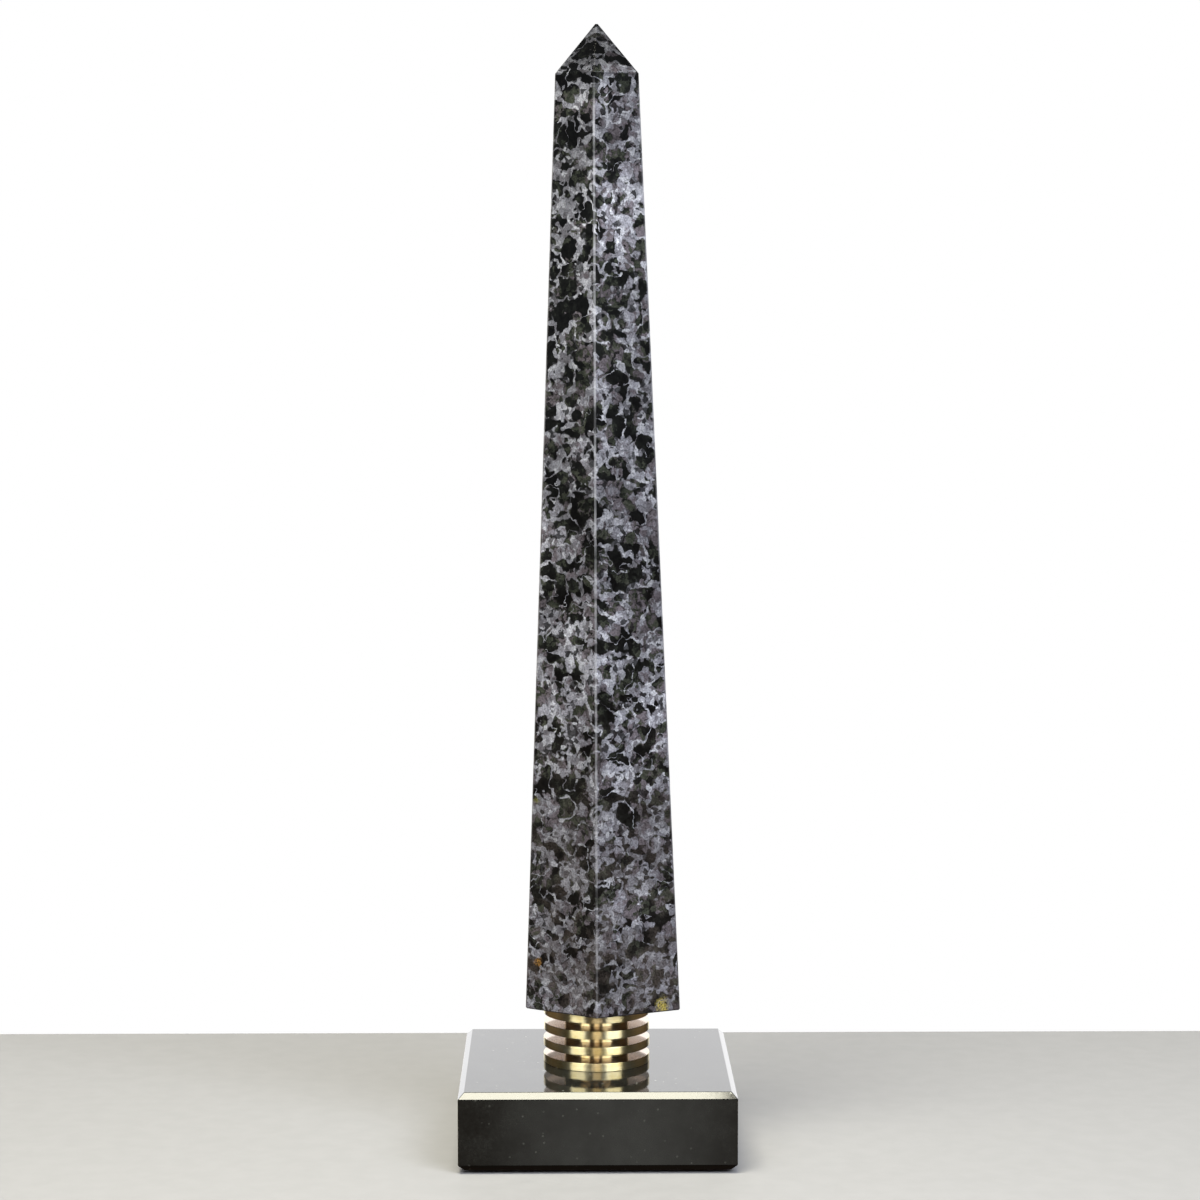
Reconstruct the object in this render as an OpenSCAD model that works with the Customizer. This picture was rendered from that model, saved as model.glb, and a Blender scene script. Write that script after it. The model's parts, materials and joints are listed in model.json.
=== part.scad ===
// Desk obelisk: a six-sided polished stone obelisk that stands on a collar of
// brass discs, over a square chamfered stone plinth on four felt pads.
// A threaded rod, glued into the stone, pulls collar and plinth together.
// Millimetres. The origin is under the centre of the plinth, where the pads
// meet the table. +Z is up and -Y is the front.

/* [Plinth] */
// Side of the square plinth
plinth_w = 100; // [70:1:160]
// Thickness of the plinth
plinth_h = 28.4; // [20:0.1:50]
// Chamfer round the plinth's top and bottom edges
plinth_chamfer = 2.2; // [0.5:0.1:5]
// Small bevel down the plinth's upright edges
plinth_arris = 0.5; // [0.1:0.1:2]

/* [Pads] */
// Thickness of the felt pads
pad_h = 1; // [0.5:0.1:4]
// Diameter of the felt pads
pad_d = 14; // [8:0.5:20]
// Distance from a pad's rim to the edge of the plinth's underside
pad_inset = 2.5; // [1:0.5:10]

/* [Collar] */
// Diameter of the large brass discs
disc_d = 39.4; // [26:0.1:60]
// Thickness of each large disc
disc_h = 3.1; // [1.5:0.1:8]
// Number of large discs
disc_count = 4; // [2:1:6]
// Diameter of the small spacer discs between them
spacer_d = 23.6; // [16:0.1:24]
// Thickness of each spacer disc
spacer_h = 2.9; // [1:0.1:8]
// Bevel on the edges of the large discs
disc_bevel = 0.2; // [0.05:0.05:0.6]
// Diameter of the cork washer between the top disc and the stone
cork_d = 30; // [16:0.5:36]
// Thickness of the cork washer
cork_h = 1.7; // [0.5:0.1:3]

/* [Obelisk] */
// Height of the tapered shaft, from its foot to the shoulder
shaft_h = 340; // [150:1:500]
// Height of the pointed tip above the shoulder
tip_h = 19; // [8:0.1:40]
// Distance from the centre line to each side face at the foot
foot_reach = 28.3; // [20:0.1:45]
// Distance from the centre line to each side face at the shoulder
shoulder_reach = 15; // [8:0.1:20]
// Width of the narrow polished flat along each upright edge
shaft_arris = 0.8; // [0.2:0.1:2]
// Bevel round the underside of the foot
foot_bevel = 0.5; // [0.2:0.1:2]
// Height that is rubbed off the very point
tip_blunt = 0.6; // [0.2:0.1:2]
// How far the foot stands to the right of the collar's centre
foot_shift = 2.4; // [-4:0.1:4]
// How far the shoulder stands to the right of the collar's centre
shoulder_shift = 0.2; // [-4:0.1:4]

/* [Fixing] */
// Diameter of the threaded rod
rod_d = 6; // [4:0.5:8]
// Depth of the rod in the foot of the obelisk
rod_in_stone = 32; // [15:1:80]
// Depth of the round pocket in the plinth's underside
pocket_depth = 11; // [8:0.5:14]
// Diameter of the round pocket
pocket_d = 24; // [20:0.5:40]
// Diameter of the steel washer
washer_d = 18; // [12:0.5:20]
// Thickness of the steel washer
washer_h = 1.6; // [0.8:0.1:3]
// Width of the nut across its flats
nut_w = 10; // [9:0.5:14]
// Height of the nut
nut_h = 5; // [3:0.1:6]
// Gap round the rod in the nut
thread_gap = 0.05; // [0.02:0.01:0.2]
// Gap round the rod in the discs and the washers
disc_gap = 0.2; // [0.1:0.05:0.5]
// Gap round the rod in the drilled stones, filled with glue
stone_gap = 0.4; // [0.2:0.05:0.8]

/* [Hidden] */
$fn = 96;

// Directions that the six side faces look in, in degrees to the right of the
// front. The stone was ground by hand, so they aren't exactly 60 apart.
FACES = [-33, 24, 89, 149, 209, 269];

// Each disc with the spacer over it takes one step of the collar
step_h = disc_h + spacer_h;
collar_h = disc_count * disc_h + (disc_count - 1) * spacer_h;

plinth_z = pad_h;
collar_z = plinth_z + plinth_h;
cork_z = collar_z + collar_h;
foot_z = cork_z + cork_h;
shoulder_z = foot_z + shaft_h;
point_z = shoulder_z + tip_h;

washer_z = plinth_z + pocket_depth - washer_h;
nut_z = washer_z - nut_h;
rod_past_nut = 1.5;
rod_z = nut_z - rod_past_nut;
rod_h = foot_z + rod_in_stone - rod_z;

pad_place = plinth_w / 2 - plinth_chamfer - pad_inset - pad_d / 2;

// Lets a cutter pass clean through the face that it opens
past = 1;
// Larger than any stone that is cut
bulk = 3 * (shaft_h + tip_h);

STONE = "#3a3a3e";
BLACK_STONE = "#262725";
BRASS = "#c9a85a";
STEEL = "#9a9da0";
FELT = "#2c2b2a";
CORK = "#8a6a4a";

// ---- Helpers ---------------------------------------------------------------

// Where face i lies at the foot and at the shoulder, from the collar's centre
function at_foot(dir) = foot_reach + foot_shift * sin(dir);
function at_shoulder(dir) = shoulder_reach + shoulder_shift * sin(dir);

// The next face round, one turn further on for the last
function next_face(i) = i == len(FACES) - 1 ? FACES[0] + 360 : FACES[i + 1];

// Half the angle between two faces that meet, and the way their edge looks
function half_turn(i) = (next_face(i) - FACES[i]) / 2;
function edge_dir(i) = FACES[i] + half_turn(i);

// Depth to cut a sharp edge to leave a flat of the given width
function cut_depth(i, flat) = flat / 2 / tan(90 - half_turn(i));

// Everything outside one flat face. The face looks in direction dir, and is
// reach_low from the centre at height z_low and reach_high at z_high.
module ground_away(dir, reach_low, z_low, reach_high, z_high) {
    lean = atan2(reach_low - reach_high, z_high - z_low);
    rotate([0, 0, dir])
        translate([0, -reach_low, z_low])
            rotate([-lean, 0, 0])
                translate([-bulk / 2, -bulk, -bulk / 2])
                    cube([bulk, bulk, bulk]);
}

// A square outline with its corners cut, centred
module cut_square(side, cut) {
    half = side / 2;
    polygon([
        [-half + cut, -half], [half - cut, -half],
        [half, -half + cut], [half, half - cut],
        [half - cut, half], [-half + cut, half],
        [-half, half - cut], [-half, -half + cut]
    ]);
}

// The plinth's side view: a slab with its four edges chamfered
module slab_side() {
    half = plinth_w / 2;
    polygon([
        [-half + plinth_chamfer, 0], [half - plinth_chamfer, 0],
        [half, plinth_chamfer], [half, plinth_h - plinth_chamfer],
        [half - plinth_chamfer, plinth_h], [-half + plinth_chamfer, plinth_h],
        [-half, plinth_h - plinth_chamfer], [-half, plinth_chamfer]
    ]);
}

// A round disc with bevelled rims and a hole, standing on z = 0
module bored_disc(d, h, hole_d, bevel) {
    rotate_extrude()
        polygon([
            [hole_d / 2, 0], [d / 2 - bevel, 0],
            [d / 2, bevel], [d / 2, h - bevel],
            [d / 2 - bevel, h], [hole_d / 2, h]
        ]);
}

// ---- Sub-parts -------------------------------------------------------------

module obelisk() {
    color(STONE)
        difference() {
            translate([-bulk / 2, -bulk / 2, foot_z])
                cube([bulk, bulk, shaft_h + tip_h - tip_blunt]);
            for (dir = FACES) {
                // Side face, tip face and the bevel under the foot
                ground_away(dir, at_foot(dir), foot_z, at_shoulder(dir), shoulder_z);
                ground_away(dir, at_shoulder(dir), shoulder_z, 0, point_z);
                ground_away(dir, at_foot(dir) - foot_bevel, foot_z,
                            at_foot(dir), foot_z + foot_bevel);
            }
            for (i = [0 : len(FACES) - 1])
                polished_edge(i);
            translate([0, 0, foot_z - past])
                cylinder(d = rod_d + 2 * stone_gap, h = rod_in_stone + past + stone_gap);
        }
}

// The narrow flats along one upright edge of the shaft and the edge above it
module polished_edge(i) {
    dir = edge_dir(i);
    depth = cut_depth(i, shaft_arris);
    low = foot_reach / cos(half_turn(i)) + foot_shift * sin(dir) - depth;
    high = shoulder_reach / cos(half_turn(i)) + shoulder_shift * sin(dir) - depth;
    ground_away(dir, low, foot_z, high, shoulder_z);
    ground_away(dir, high, shoulder_z, -depth / 2, point_z);
}

// Disc n counts from the bottom of the collar
module collar_disc(n) {
    color(BRASS)
        translate([0, 0, collar_z + (n - 1) * step_h])
            bored_disc(disc_d, disc_h, rod_d + 2 * disc_gap, disc_bevel);
}

// Spacer n lies on disc n
module collar_spacer(n) {
    color(BRASS)
        translate([0, 0, collar_z + (n - 1) * step_h + disc_h])
            bored_disc(spacer_d, spacer_h, rod_d + 2 * disc_gap, 0);
}

module cork_washer() {
    color(CORK)
        translate([0, 0, cork_z])
            bored_disc(cork_d, cork_h, rod_d + 2 * disc_gap, 0);
}

module plinth() {
    color(BLACK_STONE)
        translate([0, 0, plinth_z])
            difference() {
                intersection() {
                    linear_extrude(plinth_h) cut_square(plinth_w, plinth_arris);
                    rotate([90, 0, 0])
                        linear_extrude(plinth_w + 2 * past, center = true) slab_side();
                    rotate([90, 0, 90])
                        linear_extrude(plinth_w + 2 * past, center = true) slab_side();
                }
                translate([0, 0, -past])
                    cylinder(d = rod_d + 2 * stone_gap, h = plinth_h + 2 * past);
                translate([0, 0, -past])
                    cylinder(d = pocket_d, h = pocket_depth + past);
            }
}

module threaded_rod() {
    color(STEEL)
        translate([0, 0, rod_z])
            cylinder(d = rod_d, h = rod_h);
}

module steel_washer() {
    color(STEEL)
        translate([0, 0, washer_z])
            bored_disc(washer_d, washer_h, rod_d + 2 * disc_gap, 0);
}

module hex_nut() {
    color(STEEL)
        translate([0, 0, nut_z])
            difference() {
                cylinder(d = nut_w / cos(30), h = nut_h, $fn = 6);
                translate([0, 0, -past])
                    cylinder(d = rod_d + 2 * thread_gap, h = nut_h + 2 * past);
            }
}

// One pad under the corner that lies to side_x and side_y, each -1 or 1
module felt_pad(side_x, side_y) {
    color(FELT)
        translate([side_x * pad_place, side_y * pad_place, 0])
            cylinder(d = pad_d, h = pad_h);
}

// ---- Assembly --------------------------------------------------------------

obelisk();
cork_washer();
for (n = [1 : disc_count])
    collar_disc(n);
for (n = [1 : disc_count - 1])
    collar_spacer(n);
plinth();
threaded_rod();
steel_washer();
hex_nut();
felt_pad(-1, -1);  // felt_pad_front_left
felt_pad(1, -1);  // felt_pad_front_right
felt_pad(-1, 1);  // felt_pad_back_left
felt_pad(1, 1);  // felt_pad_back_right
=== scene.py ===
"""Looks for a desk obelisk: a six-sided gabbro shaft on a collar of brass discs over a granite plinth.

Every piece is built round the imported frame, in metres, in the frame's own axes.
"""

import json
import math
import random

import bmesh
import bpy
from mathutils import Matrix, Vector

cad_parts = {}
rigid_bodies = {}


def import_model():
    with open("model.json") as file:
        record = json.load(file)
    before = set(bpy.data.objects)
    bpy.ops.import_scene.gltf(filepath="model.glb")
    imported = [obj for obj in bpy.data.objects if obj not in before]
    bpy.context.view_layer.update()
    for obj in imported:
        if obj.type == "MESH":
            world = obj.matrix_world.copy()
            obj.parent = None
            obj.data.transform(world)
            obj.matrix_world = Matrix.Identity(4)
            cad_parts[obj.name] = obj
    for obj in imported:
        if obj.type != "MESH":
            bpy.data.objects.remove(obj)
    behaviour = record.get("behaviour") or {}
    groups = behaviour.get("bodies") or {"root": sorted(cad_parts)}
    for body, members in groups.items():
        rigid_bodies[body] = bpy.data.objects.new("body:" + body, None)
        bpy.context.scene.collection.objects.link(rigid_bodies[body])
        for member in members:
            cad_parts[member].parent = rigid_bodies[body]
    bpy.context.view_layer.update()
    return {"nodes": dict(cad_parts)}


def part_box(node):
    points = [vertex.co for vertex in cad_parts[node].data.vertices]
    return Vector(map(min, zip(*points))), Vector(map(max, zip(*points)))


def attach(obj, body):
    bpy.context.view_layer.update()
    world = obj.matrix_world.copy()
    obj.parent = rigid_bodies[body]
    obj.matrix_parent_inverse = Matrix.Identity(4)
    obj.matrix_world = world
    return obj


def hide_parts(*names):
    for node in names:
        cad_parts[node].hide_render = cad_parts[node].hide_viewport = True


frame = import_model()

BODY = "root"
WORN = "worn"
MM = 0.001

# Settings that many nodes share.
SUBTRACT = {"operation": "SUBTRACT"}
MULTIPLY = {"operation": "MULTIPLY"}
MULTIPLY_ADD = {"operation": "MULTIPLY_ADD"}
ABSOLUTE = {"operation": "ABSOLUTE"}
DOT_PRODUCT = {"operation": "DOT_PRODUCT"}
TO_EDGE = {"feature": "DISTANCE_TO_EDGE"}
SMOOTH = {"interpolation_type": "SMOOTHSTEP"}
COLOURS = {"data_type": "RGBA"}
TINTED = {"data_type": "RGBA", "blend_type": "MULTIPLY"}


# ---------------------------------------------------------------- small helpers


def linear(hex_colour):
    """The linear RGBA of an sRGB hex colour such as "#c8a24a"."""
    channels = []
    for start in (1, 3, 5):
        value = int(hex_colour[start:start + 2], 16) / 255
        if value <= 0.04045:
            channels.append(value / 12.92)
        else:
            channels.append(((value + 0.055) / 1.055) ** 2.4)
    return (*channels, 1.0)


def per_mm(size):
    """The texture scale that makes a pattern repeat about every size millimetres."""
    return 1 / (size * MM)


def add(tree, kind, settings=None, **inputs):
    """Adds one shader node. Settings are its properties; inputs are values or sockets to link.

    An input is named by its socket, with _ for a space, or by its number, as in i0. The setting
    "stops" fills a colour ramp with places and hex colours.
    """
    made = tree.nodes.new("ShaderNode" + kind)
    for name, value in (settings or {}).items():
        if name == "stops":
            ramp = made.color_ramp
            while len(ramp.elements) < len(value):
                ramp.elements.new(1.0)
            for element, (place, colour) in zip(ramp.elements, value):
                element.position = place
                element.color = linear(colour)
        else:
            setattr(made, name, value)
    for name, value in inputs.items():
        numbered = name[0] == "i" and name[1:].isdigit()
        socket = made.inputs[int(name[1:])] if numbered else made.inputs[name.replace("_", " ")]
        if isinstance(value, bpy.types.NodeSocket):
            tree.links.new(value, socket)
        else:
            socket.default_value = value
    return made


def new_material(name):
    """A material with its node tree emptied, and the tree."""
    material = bpy.data.materials.new(name)
    material.use_nodes = True
    material.node_tree.nodes.clear()
    return material, material.node_tree


def finish_material(tree, **inputs):
    """Adds the shader and the output."""
    shader = add(tree, "BsdfPrincipled", **inputs)
    add(tree, "OutputMaterial", Surface=shader.outputs["BSDF"])
    return shader


def shifted(tree, place, noise, reach):
    """A place pushed about by a noise colour, by up to half of reach metres each way."""
    centred = add(tree, "VectorMath", SUBTRACT, i0=noise, i1=(0.5, 0.5, 0.5)).outputs[0]
    return add(
        tree, "VectorMath", MULTIPLY_ADD, i0=centred, i1=(reach, reach, reach), i2=place,
    ).outputs[0]


def from_middle(tree, noise):
    """How far a noise lies from its middle value: 0 along lines that wind through the piece."""
    centred = add(tree, "Math", SUBTRACT, i0=noise, i1=0.5).outputs[0]
    return add(tree, "Math", ABSOLUTE, i0=centred).outputs[0]


def edge_mask(tree, radius):
    """1 on an edge of the piece, falling to 0 at radius metres from it."""
    rounded = add(tree, "Bevel", {"samples": 6}, Radius=radius).outputs[0]
    plain = add(tree, "NewGeometry").outputs["Normal"]
    match = add(tree, "VectorMath", DOT_PRODUCT, i0=rounded, i1=plain).outputs["Value"]
    # The two normals part by 6 degrees where the mask starts and by 22 where it is full.
    return add(
        tree, "MapRange", Value=match, From_Min=0.995, From_Max=0.93, To_Min=0.0, To_Max=1.0,
    ).outputs[0]


# ---------------------------------------------------------------- gabbro

# The heights of the stone's foot and point, in metres.
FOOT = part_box("obelisk")[0].z
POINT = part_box("obelisk")[1].z

# In millimetres.
GRAIN_WIDTH = 4.6
SMALL_GRAIN_WIDTH = 1.9

# Soft noises in the stone: the width of each one's patches in millimetres, its detail and roughness.
GABBRO_NOISES = {
    "cluster": (9.0, 3.0, 0.55),
    "zones": (28.0, 2.0, 0.50),
    "grit": (0.6, 3.0, 0.70),
}

# Masks and tones in the stone: the pattern that each one reads, the two values of the pattern that it
# runs between, and what it gives at each of them. Heights are in metres.
GABBRO_MASKS = {
    # The first four masks are painted shade: the stone is drawn darker high up on its left side and at its
    # tip.
    "painted_shade_on_left": ("sideways", 2.0 * MM, -2.0 * MM, -0.045, 0.18),
    "painted_shade_high_up": ("height", POINT - 190.6 * MM, POINT - 80.6 * MM, 0.0, 1.0),
    "painted_shade_at_tip": ("height", POINT - 26.6 * MM, POINT - 16.6 * MM, 0.0, 0.17),
    "painted_tip_shade": ("height", POINT - 24.6 * MM, POINT - 14.6 * MM, 1.0, 0.22),
    "below_tip": ("height", POINT - 19.6 * MM, POINT - 30.6 * MM, 0.0, 1.0),
    "above_foot": ("height", FOOT + 7.8 * MM, FOOT + 97.8 * MM, 0.35, 1.0),
    "foot_haze": ("height", FOOT + 117.8 * MM, FOOT + 17.8 * MM, 0.0, 0.46),
    "haze_gap": ("cluster", 0.44, 0.56, 0.12, 1.0),
    "haze_tone": ("grit", 0.30, 0.70, 0.30, 1.60),
    "rim": ("to_rim", 0.07, 0.02, 0.0, 0.55),
    "speck": ("speck_pick", 0.86, 0.87, 0.0, 0.85),
    "wisp_width": ("cluster", 0.38, 0.64, 0.004, 0.085),
    "grit_tone": ("grit", 0.30, 0.70, 0.42, 1.62),
    "zone_tone": ("zones", 0.35, 0.65, 0.64, 1.34),
    "gold_flakes": ("grit", 0.44, 0.54, 0.10, 1.0),
    # Partly wear, partly painted highlight: the patches where the narrow flats are drawn pale.
    "wear_and_highlight_patches": ("cluster", 0.35, 0.62, 0.08, 0.48),
    "gloss": ("grit", 0.30, 0.70, 0.07, 0.14),
}

# How much each pattern moves a grain along the colours below, and where the sum starts. The darker share is
# painted shade.
GRAIN_START = -0.14
GRAIN_SHARES = (("big", 0.55), ("small", 0.16), ("cluster", 0.58), ("zones", 0.24), ("darker", -1.0))
GRAIN_COLOURS = (
    (0.38, "#0a0b0c"),
    (0.51, "#1a1c1b"),
    (0.55, "#2e322c"),
    (0.64, "#42453d"),
    (0.67, "#565156"),
    (0.77, "#6a646c"),
    (0.81, "#7d7c86"),
    (0.95, "#9c9da9"),
)
WISP_COLOURS = ((0.0, "#67656c"), (0.5, "#8e8f9a"), (1.0, "#bfc1cb"))

# Golden mica: each patch's middle, in millimetres to the right, to the back and above the stone's
# foot, its radius in millimetres and its tint. GOLD_CORE is the share of the radius that is all gold.
GOLD_CORE = 0.4
GOLD_PATCHES = (
    ((23.2, -20.6, 2.4), 3.6, "#cdbb64"),
    ((-22.2, -18.0, 17.5), 2.6, "#bb8a45"),
    ((-22.8, -15.5, 77.3), 2.4, "#8b8a4a"),
)


def gabbro_patterns(tree, place, bent, fine_bent):
    """The patterns and masks of the stone, by name."""
    parts = add(tree, "SeparateXYZ", Vector=place)
    big = add(tree, "TexVoronoi", Vector=bent, Scale=per_mm(GRAIN_WIDTH))
    to_rim = add(tree, "TexVoronoi", TO_EDGE, Vector=bent, Scale=per_mm(GRAIN_WIDTH))
    small = add(
        tree, "TexVoronoi", {"distance": "MANHATTAN"}, Vector=fine_bent, Scale=per_mm(SMALL_GRAIN_WIDTH),
    )
    big_parts = add(tree, "SeparateColor", Color=big.outputs["Color"])
    small_parts = add(tree, "SeparateColor", Color=small.outputs["Color"])
    stone = {
        "sideways": parts.outputs["X"],
        "height": parts.outputs["Z"],
        "big": big_parts.outputs[0],
        "small": small_parts.outputs[0],
        "speck_pick": small_parts.outputs[2],
        "to_rim": to_rim.outputs["Distance"],
    }
    for name, (width, detail, roughness) in GABBRO_NOISES.items():
        stone[name] = add(
            tree, "TexNoise", Vector=place, Scale=per_mm(width), Detail=detail, Roughness=roughness,
        ).outputs["Fac"]
    for name, (pattern, start, end, first, last) in GABBRO_MASKS.items():
        stone[name] = add(
            tree, "MapRange",
            Value=stone[pattern], From_Min=start, From_Max=end, To_Min=first, To_Max=last,
        ).outputs[0]
    # Painted shade: the block is drawn darker high up on its left side, and at its tip.
    stone["darker"] = add(
        tree, "Math", MULTIPLY_ADD,
        i0=stone["painted_shade_on_left"], i1=stone["painted_shade_high_up"], i2=stone["painted_shade_at_tip"],
    ).outputs[0]
    return stone


def gabbro_veins(tree, stone, fine_bent):
    """Pale wisps of feldspar and dark hairlines that wind through the grains: their masks."""
    wisp_noise = add(
        tree, "TexNoise", Vector=fine_bent, Scale=per_mm(8.0), Detail=2.0, Roughness=0.5, Distortion=0.3,
    ).outputs["Fac"]
    wisp_ratio = add(
        tree, "Math", {"operation": "DIVIDE"}, i0=from_middle(tree, wisp_noise), i1=stone["wisp_width"],
    ).outputs[0]
    wisp = add(
        tree, "MapRange", SMOOTH,
        Value=wisp_ratio, From_Min=1.15, From_Max=0.75, To_Min=0.0, To_Max=0.85,
    ).outputs[0]
    hair_noise = add(
        tree, "TexNoise", Vector=fine_bent, Scale=per_mm(2.2), Detail=2.0, Roughness=0.5, Distortion=0.6,
    ).outputs["Fac"]
    hair = add(
        tree, "MapRange", SMOOTH,
        Value=from_middle(tree, hair_noise), From_Min=0.024, From_Max=0.006, To_Min=0.0, To_Max=0.45,
    ).outputs[0]
    return wisp, hair


def polished_gabbro():
    """Indigo gabbro, diamond polished: black pyroxene and lavender-grey feldspar grains lock together."""
    material, tree = new_material("polished_indigo_gabbro")
    place = add(tree, "TexCoord").outputs["Object"]
    ragged = add(
        tree, "TexNoise", Vector=place, Scale=per_mm(3.2), Detail=3.0, Roughness=0.5,
    ).outputs["Color"]
    bent = shifted(tree, place, ragged, 4.8 * MM)
    fine_bent = shifted(tree, place, ragged, 2.4 * MM)
    stone = gabbro_patterns(tree, place, bent, fine_bent)
    wisp, hair = gabbro_veins(tree, stone, fine_bent)

    grain = GRAIN_START
    for name, share in GRAIN_SHARES:
        grain = add(tree, "Math", MULTIPLY_ADD, i0=stone[name], i1=share, i2=grain).outputs[0]
    colour = add(tree, "ValToRGB", {"stops": GRAIN_COLOURS}, Fac=grain).outputs["Color"]
    wisp_colour = add(tree, "ValToRGB", {"stops": WISP_COLOURS}, Fac=stone["small"]).outputs["Color"]
    layers = (
        (stone["rim"], linear("#141514")),
        (wisp, wisp_colour),
        (hair, linear("#191a19")),
        (stone["speck"], linear("#121313")),
    )
    for mask, tint in layers:
        colour = add(tree, "Mix", COLOURS, i0=mask, i6=colour, i7=tint).outputs[2]
    for tone in ("grit_tone", "zone_tone"):
        colour = add(tree, "Mix", TINTED, i0=1.0, i6=colour, i7=stone[tone]).outputs[2]

    # Towards the foot the grains blur into a brownish haze.
    haze = add(tree, "Math", MULTIPLY, i0=stone["foot_haze"], i1=stone["haze_gap"]).outputs[0]
    haze_colour = add(
        tree, "Mix", TINTED, i0=1.0, i6=linear("#5a524e"), i7=stone["haze_tone"],
    ).outputs[2]
    colour = add(tree, "Mix", COLOURS, i0=haze, i6=colour, i7=haze_colour).outputs[2]
    # Painted shade: the colour is darkened towards the tip.
    colour = add(tree, "Mix", TINTED, i0=1.0, i6=colour, i7=stone["painted_tip_shade"]).outputs[2]

    for spot, radius, tint in GOLD_PATCHES:
        middle = Vector(spot) * MM + Vector((0.0, 0.0, FOOT))
        away = add(tree, "VectorMath", {"operation": "DISTANCE"}, i0=bent, i1=middle).outputs["Value"]
        near = add(
            tree, "MapRange",
            Value=away, From_Min=radius * MM, From_Max=GOLD_CORE * radius * MM, To_Min=0.0, To_Max=0.95,
        ).outputs[0]
        gold = add(tree, "Math", MULTIPLY, i0=near, i1=stone["gold_flakes"]).outputs[0]
        colour = add(tree, "Mix", COLOURS, i0=gold, i6=colour, i7=linear(tint)).outputs[2]

    # The narrow flats along the edges are rubbed a little dull, in patches; their pale colour is partly
    # rubbed wear and partly a painted highlight.
    marked = add(tree, "Attribute", {"attribute_name": WORN}).outputs["Fac"]
    rubbed_and_highlit_part = add(tree, "Math", MULTIPLY, i0=stone["below_tip"], i1=stone["above_foot"]).outputs[0]
    worn = add(tree, "Math", MULTIPLY, i0=marked, i1=rubbed_and_highlit_part).outputs[0]
    wear = add(tree, "Math", MULTIPLY, i0=worn, i1=stone["wear_and_highlight_patches"]).outputs[0]
    colour = add(tree, "Mix", COLOURS, i0=wear, i6=colour, i7=linear("#c3c4cc")).outputs[2]
    gloss = add(tree, "Math", MULTIPLY_ADD, i0=worn, i1=0.20, i2=stone["gloss"]).outputs[0]
    relief = add(tree, "Bump", Strength=1.0, Distance=0.004 * MM, Height=grain).outputs["Normal"]
    finish_material(tree, Base_Color=colour, Roughness=gloss, IOR=1.55, Normal=relief)
    return material


# ---------------------------------------------------------------- other materials


def polished_black_granite():
    """Absolute black granite, diamond polished: near black, with fine grey grains and rare pale specks."""
    material, tree = new_material("polished_black_granite")
    place = add(tree, "TexCoord").outputs["Object"]
    grain = add(
        tree, "TexNoise", Vector=place, Scale=per_mm(1.1), Detail=4.0, Roughness=0.7,
    ).outputs["Fac"]
    colour = add(
        tree, "ValToRGB",
        {"stops": [(0.30, "#171716"), (0.55, "#1d1e1c"), (0.75, "#272825")]},
        Fac=grain,
    ).outputs["Color"]
    specks = add(tree, "TexVoronoi", Vector=place, Scale=per_mm(2.4))
    speck_parts = add(tree, "SeparateColor", Color=specks.outputs["Color"])
    speck_here = add(
        tree, "Math", {"operation": "GREATER_THAN"}, i0=speck_parts.outputs[0], i1=0.76,
    ).outputs[0]
    speck_size = add(
        tree, "MapRange", Value=specks.outputs["Distance"],
        From_Min=0.22, From_Max=0.08, To_Min=0.0, To_Max=1.0,
    ).outputs[0]
    speck_light = add(tree, "Math", MULTIPLY, i0=speck_size, i1=speck_parts.outputs[1]).outputs[0]
    speck = add(tree, "Math", MULTIPLY, i0=speck_here, i1=speck_light).outputs[0]
    clouds = add(
        tree, "TexNoise", Vector=place, Scale=per_mm(9.0), Detail=4.0, Roughness=0.6,
    ).outputs["Fac"]
    cloud_tone = add(
        tree, "MapRange", Value=clouds, From_Min=0.35, From_Max=0.65, To_Min=0.62, To_Max=1.40,
    ).outputs[0]
    colour = add(tree, "Mix", TINTED, i0=1.0, i6=colour, i7=cloud_tone).outputs[2]
    colour = add(tree, "Mix", COLOURS, i0=speck, i6=colour, i7=linear("#92938b")).outputs[2]
    worn = add(tree, "Attribute", {"attribute_name": WORN}).outputs["Fac"]
    wear = add(tree, "Math", MULTIPLY, i0=worn, i1=0.12).outputs[0]
    colour = add(tree, "Mix", COLOURS, i0=wear, i6=colour, i7=linear("#55564f")).outputs[2]
    gloss = add(
        tree, "MapRange", Value=grain, From_Min=0.3, From_Max=0.7, To_Min=0.04, To_Max=0.09,
    ).outputs[0]
    relief = add(tree, "Bump", Strength=1.0, Distance=0.0002 * MM, Height=grain).outputs["Normal"]
    finish_material(tree, Base_Color=colour, Roughness=gloss, IOR=1.54, Normal=relief)
    return material


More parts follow.
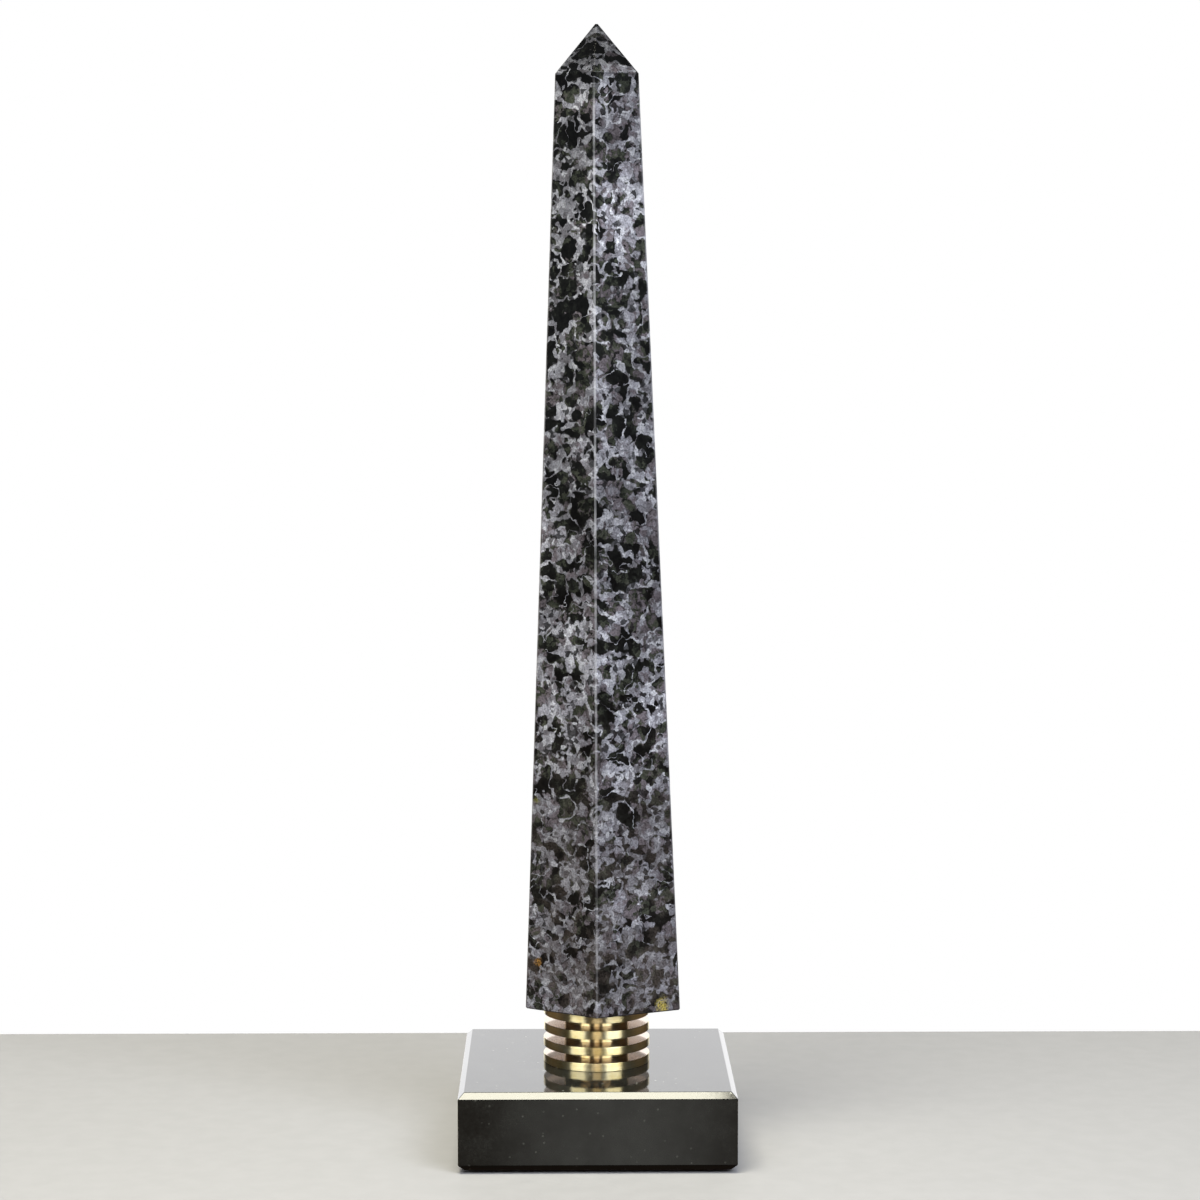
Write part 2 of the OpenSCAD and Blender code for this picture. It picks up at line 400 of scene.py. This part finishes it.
def turned_brass():
    """Lathe-turned brass: fine rings round the axis draw every light out into a stripe along the axis."""
    material, tree = new_material("turned_polished_brass")
    place = add(tree, "TexCoord").outputs["Object"]
    parts = add(tree, "SeparateXYZ", Vector=place)
    flat = add(tree, "CombineXYZ", X=parts.outputs["X"], Y=parts.outputs["Y"], Z=0.0).outputs[0]
    radius = add(tree, "VectorMath", {"operation": "LENGTH"}, i0=flat).outputs["Value"]
    ring_place = add(tree, "CombineXYZ", X=radius, Y=parts.outputs["Z"], Z=0.0).outputs[0]
    # Real tool marks are about 0.05 mm apart; they are drawn at 0.35 mm so that they show.
    rings = add(
        tree, "TexNoise", Vector=ring_place, Scale=per_mm(0.35), Detail=3.0, Roughness=0.6,
    ).outputs["Fac"]
    tarnish = add(
        tree, "TexNoise", Vector=place, Scale=per_mm(7.0), Detail=4.0, Roughness=0.6,
    ).outputs["Fac"]
    colour = add(
        tree, "ValToRGB",
        {"stops": [(0.35, "#dccb92"), (0.50, "#e9dcae"), (0.65, "#f1e8c6")]},
        Fac=tarnish,
    ).outputs["Color"]
    line_tone = add(
        tree, "MapRange", Value=rings, From_Min=0.3, From_Max=0.7, To_Min=0.88, To_Max=1.05,
    ).outputs[0]
    colour = add(tree, "Mix", TINTED, i0=1.0, i6=colour, i7=line_tone).outputs[2]
    facing = add(tree, "NewGeometry").outputs["Normal"]
    upright = add(tree, "SeparateXYZ", Vector=facing).outputs["Z"]
    steep = add(tree, "Math", ABSOLUTE, i0=upright).outputs[0]
    flat_face = add(
        tree, "MapRange", Value=steep, From_Min=0.90, From_Max=0.99, To_Min=0.0, To_Max=1.0,
    ).outputs[0]
    # Painted reflection: the flat faces are tinted pinkish grey in place of the brass colour.
    colour = add(tree, "Mix", COLOURS, i0=flat_face, i6=colour, i7=linear("#b9a797")).outputs[2]
    rim_gloss = add(
        tree, "MapRange", Value=rings, From_Min=0.3, From_Max=0.7, To_Min=0.29, To_Max=0.34,
    ).outputs[0]
    # The flat faces are lapped after turning, so they mirror more sharply than the rims.
    gloss = add(
        tree, "MapRange", Value=flat_face, From_Min=0.0, From_Max=1.0, To_Min=rim_gloss, To_Max=0.18,
    ).outputs[0]
    relief = add(tree, "Bump", Strength=1.0, Distance=0.002 * MM, Height=rings).outputs["Normal"]
    tangent = add(tree, "Tangent", {"direction_type": "RADIAL", "axis": "Z"}).outputs[0]
    finish_material(
        tree, Base_Color=colour, Metallic=1.0, Roughness=gloss, Normal=relief,
        Anisotropic=1.0, Anisotropic_Rotation=0.25, Tangent=tangent,
    )
    return material


def zinc_plated_steel():
    """Bright zinc plate on steel: pale bluish metal with soft cloudy patches and dull edges."""
    material, tree = new_material("zinc_plated_steel")
    place = add(tree, "TexCoord").outputs["Object"]
    cloud = add(
        tree, "TexNoise", Vector=place, Scale=per_mm(2.5), Detail=4.0, Roughness=0.6,
    ).outputs["Fac"]
    colour = add(
        tree, "ValToRGB",
        {"stops": [(0.30, "#9da2a8"), (0.50, "#b9bcc0"), (0.70, "#c9cac4")]},
        Fac=cloud,
    ).outputs["Color"]
    wear = edge_mask(tree, 0.25 * MM)
    colour = add(tree, "Mix", COLOURS, i0=wear, i6=colour, i7=linear("#8b8a88")).outputs[2]
    gloss = add(
        tree, "MapRange", Value=cloud, From_Min=0.3, From_Max=0.7, To_Min=0.22, To_Max=0.42,
    ).outputs[0]
    relief = add(tree, "Bump", Strength=1.0, Distance=0.006 * MM, Height=cloud).outputs["Normal"]
    finish_material(tree, Base_Color=colour, Metallic=1.0, Roughness=gloss, Normal=relief)
    return material


def pressed_cork():
    """Agglomerated cork: warm brown crumbs about 1 mm wide, pressed together, with darker skins between."""
    material, tree = new_material("pressed_cork")
    place = add(tree, "TexCoord").outputs["Object"]
    crumb_width = 1.1
    crumbs = add(tree, "TexVoronoi", Vector=place, Scale=per_mm(crumb_width)).outputs["Color"]
    skins = add(tree, "TexVoronoi", TO_EDGE, Vector=place, Scale=per_mm(crumb_width)).outputs["Distance"]
    pick = add(tree, "SeparateColor", Color=crumbs).outputs[0]
    colour = add(
        tree, "ValToRGB",
        {"stops": [(0.0, "#5b3d22"), (0.4, "#8c6238"), (0.8, "#a97b4a"), (1.0, "#bd9463")]},
        Fac=pick,
    ).outputs["Color"]
    skin_mask = add(
        tree, "MapRange", Value=skins, From_Min=0.07, From_Max=0.0, To_Min=0.0, To_Max=0.8,
    ).outputs[0]
    colour = add(tree, "Mix", COLOURS, i0=skin_mask, i6=colour, i7=linear("#2e1d10")).outputs[2]
    relief = add(tree, "Bump", Strength=1.0, Distance=0.05 * MM, Height=skins).outputs["Normal"]
    finish_material(tree, Base_Color=colour, Roughness=0.85, Normal=relief)
    return material


def pressed_felt():
    """Black wool felt: a soft mat of fibres with a faint sheen along its edge."""
    material, tree = new_material("pressed_black_felt")
    place = add(tree, "TexCoord").outputs["Object"]
    # Wool fibres are 0.02 mm thick; the mat is drawn at 0.18 mm so that it shows.
    fibres = add(
        tree, "TexNoise", Vector=place, Scale=per_mm(0.18), Detail=5.0, Roughness=0.75, Distortion=1.4,
    ).outputs["Fac"]
    colour = add(
        tree, "ValToRGB",
        {"stops": [(0.30, "#0d0d0e"), (0.55, "#1b1b1c"), (0.75, "#2d2d2f")]},
        Fac=fibres,
    ).outputs["Color"]
    relief = add(tree, "Bump", Strength=1.0, Distance=0.08 * MM, Height=fibres).outputs["Normal"]
    shader = finish_material(tree, Base_Color=colour, Roughness=0.95, Normal=relief)
    shader.inputs["Sheen Weight"].default_value = 0.4
    shader.inputs["Sheen Roughness"].default_value = 0.5
    return material


def pale_board():
    """Matt painted board for the floor: pale grey with a faint orange-peel from the roller."""
    material, tree = new_material("matt_painted_board")
    place = add(tree, "TexCoord").outputs["Object"]
    peel = add(
        tree, "TexNoise", Vector=place, Scale=per_mm(9.0), Detail=3.0, Roughness=0.5,
    ).outputs["Fac"]
    colour = add(
        tree, "ValToRGB",
        {"stops": [(0.35, "#a2a1a2"), (0.65, "#a5a4a5")]},
        Fac=peel,
    ).outputs["Color"]
    relief = add(tree, "Bump", Strength=0.3, Distance=0.05 * MM, Height=peel).outputs["Normal"]
    finish_material(tree, Base_Color=colour, Roughness=0.7, Normal=relief)
    return material


# ---------------------------------------------------------------- making pieces

SAME_POINT = 0.001 * MM
SHORTEST_EDGE = 0.002 * MM
FLAT_BELOW = math.radians(0.6)
SHARP_FROM = math.radians(12)
# A bore leaves points well inside the rim; a disc without one has all its points on the rim.
BORED_BELOW = 0.95
LIP_STEPS = 4
THREAD_ROWS_A_TURN = 8
THREAD_SIDES = 36


def show(mesh, name, material, node):
    """Puts a mesh into the scene as the piece that stands for a CAD node."""
    piece = bpy.data.objects.new(name, mesh)
    bpy.context.scene.collection.objects.link(piece)
    mesh.materials.clear()
    mesh.materials.append(material)
    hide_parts(node)
    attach(piece, BODY)
    return piece


def as_mesh(solid, name):
    """The finished mesh of a bmesh, which is freed."""
    mesh = bpy.data.meshes.new(name)
    solid.to_mesh(mesh)
    solid.free()
    return mesh


def keep_flats(piece):
    """Makes a piece's large flat faces shade flat right up to their rounded edges."""
    even = piece.modifiers.new("flat_faces_stay_flat", "WEIGHTED_NORMAL")
    even.mode = "FACE_AREA"
    even.weight = 100
    even.keep_sharp = True


def ring_of(solid, centre, height, radii):
    """One round of points, evenly spaced in angle, with a radius for each."""
    ring = []
    for step, radius in enumerate(radii):
        angle = 2 * math.pi * step / len(radii)
        ring.append(solid.verts.new((
            centre.x + radius * math.cos(angle),
            centre.y + radius * math.sin(angle),
            height,
        )))
    return ring


def reach_of(node):
    """A round node's centre, lowest and highest point, and its inner and outer radius."""
    low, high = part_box(node)
    centre = (low + high) / 2
    distances = [
        math.hypot(v.co.x - centre.x, v.co.y - centre.y)
        for v in frame["nodes"][node].data.vertices
    ]
    outer = (high.x - low.x) / 2
    inner = min(distances)
    if inner > BORED_BELOW * outer:
        inner = 0.0
    return centre, low.z, high.z, inner, outer


def lathe_profile(bottom, top, inner, outer, radius):
    """The outline of a flat ring or disc with a quarter-round of radius at each corner."""
    corners = [(outer, bottom, 1, -1, False), (outer, top, 1, 1, True)]
    if inner:
        corners += [(inner, top, -1, 1, False), (inner, bottom, -1, -1, True)]
    outline = []
    for edge, height, outward, upward, falling in corners:
        quarter = []
        for step in range(LIP_STEPS + 1):
            angle = math.pi / 2 * step / LIP_STEPS
            quarter.append((
                edge - outward * radius * (1 - math.sin(angle)),
                height - upward * radius * (1 - math.cos(angle)),
            ))
        outline += reversed(quarter) if falling else quarter
    if not inner:
        outline = [(0.0, bottom), *outline, (0.0, top)]
    return outline


def lathe(profile, centre, segments, name, bored, fray, seed):
    """Turns a profile of (radius, height) points round the upright line through centre.

    With bored, the profile closes on itself. Each point is drawn in by up to fray, at random.
    """
    dice = random.Random(seed)
    solid = bmesh.new()
    rings = []
    for radius, height in profile:
        if radius:
            radii = [radius - fray * dice.random() for _ in range(segments)]
            rings.append(ring_of(solid, centre, height, radii))
        else:
            rings.append([solid.verts.new((centre.x, centre.y, height))])
    pairs = list(zip(rings, rings[1:]))
    if bored:
        pairs.append((rings[-1], rings[0]))
    for first, second in pairs:
        for step in range(segments):
            after = (step + 1) % segments
            if len(first) == 1:
                corners = (first[0], second[after], second[step])
            elif len(second) == 1:
                corners = (first[step], first[after], second[0])
            else:
                corners = (first[step], first[after], second[after], second[step])
            solid.faces.new(corners)
    bmesh.ops.recalc_face_normals(solid, faces=solid.faces)
    mesh = as_mesh(solid, name)
    mesh.shade_smooth()
    return mesh


def turned(node, name, material, lip, segments=192, fray=0.0, seed=0):
    """A turned or punched round piece that stands for a CAD node, its corners rounded by lip."""
    centre, bottom, top, inner, outer = reach_of(node)
    outline = lathe_profile(bottom, top, inner, outer, lip)
    mesh = lathe(outline, centre, segments, name, bool(inner), fray, seed)
    keep_flats(show(mesh, name, material, node))


def softened(node, name, material, width, segments, worn_width):
    """A ground or formed piece: the CAD solid with its sharp edges rubbed round.

    Faces narrower than worn_width are marked as worn, for the material to read.
    """
    solid = bmesh.new()
    solid.from_mesh(frame["nodes"][node].data)
    bmesh.ops.remove_doubles(solid, verts=solid.verts, dist=SAME_POINT)
    bmesh.ops.dissolve_limit(solid, angle_limit=FLAT_BELOW, verts=solid.verts, edges=solid.edges)
    mark = solid.faces.layers.float.new(WORN)
    across = {}
    for face in solid.faces:
        face.smooth = True
        across[face] = face.calc_area() / max(e.calc_length() for e in face.edges)
        face[mark] = 1.0 if across[face] < worn_width else 0.0
    sharp = []
    for edge in solid.edges:
        if edge.calc_face_angle(0.0) < SHARP_FROM:
            continue
        if min(across[face] for face in edge.link_faces) > 2 * width:
            sharp.append(edge)
        else:
            # A facet too narrow to take the rounding keeps its own crisp edges.
            edge.smooth = False
    bmesh.ops.bevel(
        solid, geom=sharp, offset=width, offset_type="OFFSET", segments=segments,
        profile=0.5, affect="EDGES", clamp_overlap=True, harden_normals=False,
    )
    bmesh.ops.remove_doubles(solid, verts=solid.verts, dist=SHORTEST_EDGE)
    bmesh.ops.dissolve_degenerate(solid, dist=SHORTEST_EDGE, edges=solid.edges)
    keep_flats(show(as_mesh(solid, name), name, material, node))


def threaded(node, name, material, pitch, depth):
    """A rod with its screw thread cut along its whole length."""
    centre, bottom, top, _, outer = reach_of(node)
    rows = int((top - bottom) / pitch * THREAD_ROWS_A_TURN)
    solid = bmesh.new()
    rings = []
    for row in range(rows + 1):
        height = bottom + (top - bottom) * row / rows
        lead = min(1.0, (height - bottom) / pitch, (top - height) / pitch)
        radii = []
        for step in range(THREAD_SIDES):
            phase = ((height - bottom) / pitch - step / THREAD_SIDES) % 1.0
            groove = 1 - abs(2 * phase - 1)
            radii.append(outer - depth * max(groove, 1 - lead))
        rings.append(ring_of(solid, centre, height, radii))
    for first, second in zip(rings, rings[1:]):
        for step in range(THREAD_SIDES):
            after = (step + 1) % THREAD_SIDES
            solid.faces.new((first[step], first[after], second[after], second[step]))
    solid.faces.new(list(reversed(rings[0])))
    solid.faces.new(rings[-1])
    bmesh.ops.recalc_face_normals(solid, faces=solid.faces)
    show(as_mesh(solid, name), name, material, node)


# ---------------------------------------------------------------- the pieces

gabbro = polished_gabbro()
granite = polished_black_granite()
brass = turned_brass()
zinc = zinc_plated_steel()
cork = pressed_cork()
felt = pressed_felt()

softened(
    "obelisk", "gabbro_obelisk", gabbro,
    width=0.15 * MM, segments=3, worn_width=1.0 * MM,
)
softened(
    "plinth", "granite_plinth", granite,
    width=0.42 * MM, segments=5, worn_width=0.9 * MM,
)
softened(
    "hex_nut", "zinc_hex_nut", zinc,
    width=0.15 * MM, segments=2, worn_width=0.4 * MM,
)
threaded("threaded_rod", "zinc_threaded_rod", zinc, pitch=1.0 * MM, depth=0.55 * MM)

for number in (1, 2, 3, 4):
    turned(f"collar_disc_{number}", f"brass_disc_{number}", brass, lip=0.22 * MM)
for number in (1, 2, 3):
    turned(f"collar_spacer_{number}", f"brass_spacer_{number}", brass, lip=0.08 * MM)

turned("steel_washer", "zinc_washer", zinc, lip=0.25 * MM, segments=96)
turned(
    "cork_washer", "cork_ring", cork,
    lip=0.20 * MM, segments=160, fray=0.12 * MM, seed=7,
)
for number, corner in enumerate(("front_left", "front_right", "back_left", "back_right")):
    turned(
        f"felt_pad_{corner}", f"felt_disc_{corner}", felt,
        lip=0.25 * MM, segments=96, fray=0.10 * MM, seed=number,
    )


# ---------------------------------------------------------------- studio

FLOOR_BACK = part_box("plinth")[1].y + 113 * MM
FLOOR_FRONT = -1.6
FLOOR_SIDE = 2.2

# What the softboxes aim at: the lower half of the stone, on its axis.
LIGHT_AIM = Vector((0.0, 0.0, 0.15))

# Soft lights in front of the object: degrees to the right of the front and upwards, the distance,
# width and height in metres, the radiance and the tint.
SOFTBOXES = {
    "softbox_left": (-42.0, 42.0, 1.30, 0.75, 0.75, 2.6, "#f8fbff"),
    "softbox_right": (38.0, 42.0, 1.30, 0.75, 0.75, 8.8, "#eef4ff"),
}
# The same for those that shine on the brass and on nothing else.
BRASS_GLEAMS = {
    "gleam_left": (-42.0, 12.0, 1.25, 0.70, 0.50, 7.4, "#fffdf0"),
    "gleam_right": (38.0, 12.0, 1.25, 0.74, 0.50, 7.4, "#fffdf0"),
    "gleam_front": (0.5, 12.0, 1.30, 0.40, 0.50, 5.0, "#ffecd0"),
}
OVERHEAD_PLACE = Vector((-0.196, -0.36, 1.25))
OVERHEAD_WIDTH = 0.62
OVERHEAD_DEPTH = 0.55
OVERHEAD_RADIANCE = 20.0

# What shines on the object from the room, the bench and the white paper behind, and the plain white
# that the camera sees instead.
ROOM = (0.085, 0.085, 0.090, 1.0)
BENCH = (0.055, 0.040, 0.030, 1.0)
PAPER = (1.85, 1.85, 1.87, 1.0)
BACKDROP = (1.0, 1.0, 1.0, 1.0)

# Warm light on the bench in front and at the sides: where it lies seen from the object, its spread in
# degrees, its radiance.
BENCH_GLOWS = (
    ((-0.92, 0.33, -0.27), 40.0, (0.18, 0.13, 0.09, 1.0)),
    ((0.92, 0.33, -0.27), 40.0, (0.18, 0.13, 0.09, 1.0)),
    ((0.00, -1.0, -0.20), 20.0, (0.16, 0.12, 0.09, 1.0)),
    ((0.0175, -1.0, -0.277), 2.8, (0.80, 0.78, 0.72, 1.0)),
)


def lay_floor():
    """A plain pale board under the object; its back edge is just behind the plinth.

    It stays out of mirror images and bounced light, so the polished stone mirrors the room alone.
    """
    mesh = bpy.data.meshes.new("floor")
    corners = [
        (-FLOOR_SIDE, FLOOR_FRONT, 0.0),
        (FLOOR_SIDE, FLOOR_FRONT, 0.0),
        (FLOOR_SIDE, FLOOR_BACK, 0.0),
        (-FLOOR_SIDE, FLOOR_BACK, 0.0),
    ]
    mesh.from_pydata(corners, [], [(0, 1, 2, 3)])
    floor = bpy.data.objects.new("floor", mesh)
    bpy.context.scene.collection.objects.link(floor)
    mesh.materials.append(pale_board())
    floor.visible_glossy = False
    floor.visible_diffuse = False


def soft_light(name, place, width, height, radiance, tint):
    """A soft rectangular light that the camera doesn't see, facing straight down."""
    lamp = bpy.data.lights.new(name, "AREA")
    lamp.shape = "RECTANGLE"
    lamp.size = width
    lamp.size_y = height
    lamp.energy = radiance * width * height * math.pi
    lamp.color = linear(tint)[:3]
    holder = bpy.data.objects.new(name, lamp)
    bpy.context.scene.collection.objects.link(holder)
    holder.location = place
    holder.visible_camera = False
    return holder


def hang_softbox(name, azimuth, elevation, distance, width, height, radiance, tint):
    """A soft light turned to LIGHT_AIM from a direction and distance."""
    turn = math.radians(azimuth)
    rise = math.radians(elevation)
    away = Vector((
        math.sin(turn) * math.cos(rise),
        -math.cos(turn) * math.cos(rise),
        math.sin(rise),
    ))
    holder = soft_light(name, LIGHT_AIM + away * distance, width, height, radiance, tint)
    holder.rotation_euler = away.to_track_quat("Z", "Y").to_euler()
    return holder


def light_object():
    """Hangs the softboxes, the gleams on the brass and the light overhead."""
    for name, values in SOFTBOXES.items():
        hang_softbox(name, *values)
    brass_pieces = bpy.data.collections.new("brass_pieces")
    for piece in bpy.context.scene.collection.objects:
        if piece.name.startswith("brass_"):
            brass_pieces.objects.link(piece)
    for name, values in BRASS_GLEAMS.items():
        gleam = hang_softbox(name, *values)
        gleam.visible_diffuse = False
        gleam.light_linking.receiver_collection = brass_pieces
    soft_light(
        "softbox_overhead", OVERHEAD_PLACE, OVERHEAD_WIDTH, OVERHEAD_DEPTH, OVERHEAD_RADIANCE, "#fffbe6",
    )


def paint_room():
    """White paper behind the object, a dim room at its sides and in front, a dark bench below."""
    world = bpy.data.worlds.new("studio")
    world.use_nodes = True
    bpy.context.scene.world = world
    tree = world.node_tree
    tree.nodes.clear()
    way = add(tree, "TexCoord").outputs["Generated"]
    parts = add(tree, "SeparateXYZ", Vector=way)
    behind = add(
        tree, "MapRange", SMOOTH, Value=parts.outputs["Y"], From_Min=0.82, From_Max=0.92,
    ).outputs[0]
    over_paper_foot = add(
        tree, "MapRange", SMOOTH, Value=parts.outputs["Z"], From_Min=-0.45, From_Max=-0.18,
    ).outputs[0]
    over_bench = add(
        tree, "MapRange", SMOOTH, Value=parts.outputs["Z"], From_Min=-0.05, From_Max=0.05,
    ).outputs[0]
    paper = add(tree, "Math", MULTIPLY, i0=behind, i1=over_paper_foot).outputs[0]
    seen = add(tree, "Mix", COLOURS, i0=over_bench, i6=BENCH, i7=ROOM).outputs[2]
    seen = add(tree, "Mix", COLOURS, i0=paper, i6=seen, i7=PAPER).outputs[2]
    for aim, spread, glow in BENCH_GLOWS:
        match = add(
            tree, "VectorMath", DOT_PRODUCT, i0=way, i1=Vector(aim).normalized(),
        ).outputs["Value"]
        near = add(
            tree, "MapRange", SMOOTH,
            Value=match, From_Min=math.cos(math.radians(spread)), From_Max=1.0,
        ).outputs[0]
        seen = add(tree, "Mix", COLOURS, i0=near, i6=seen, i7=glow).outputs[2]
    is_camera = add(tree, "LightPath").outputs["Is Camera Ray"]
    seen = add(tree, "Mix", COLOURS, i0=is_camera, i6=seen, i7=BACKDROP).outputs[2]
    light = add(tree, "Background", Color=seen, Strength=1.0).outputs[0]
    add(tree, "OutputWorld", Surface=light)


lay_floor()
paint_room()
light_object()


# ---------------------------------------------------------------- camera

CAMERA_PLACE = (-0.0106, -1.0641, 0.2970)
CAMERA_PITCH_DOWN = 5.13
CAMERA_HEADING_RIGHT = 0.64
LENS = 87.08
SENSOR = 36.0
CLIP_START = 0.05

lens = bpy.data.cameras.new("camera")
lens.lens = LENS
lens.sensor_width = SENSOR
lens.clip_start = CLIP_START
camera = bpy.data.objects.new("camera", lens)
bpy.context.scene.collection.objects.link(camera)
camera.location = CAMERA_PLACE
camera.rotation_euler = (
    math.radians(90 - CAMERA_PITCH_DOWN),
    0.0,
    math.radians(-CAMERA_HEADING_RIGHT),
)
bpy.context.scene.camera = camera

settings = bpy.context.scene.view_settings
settings.view_transform = "Standard"
settings.look = "None"
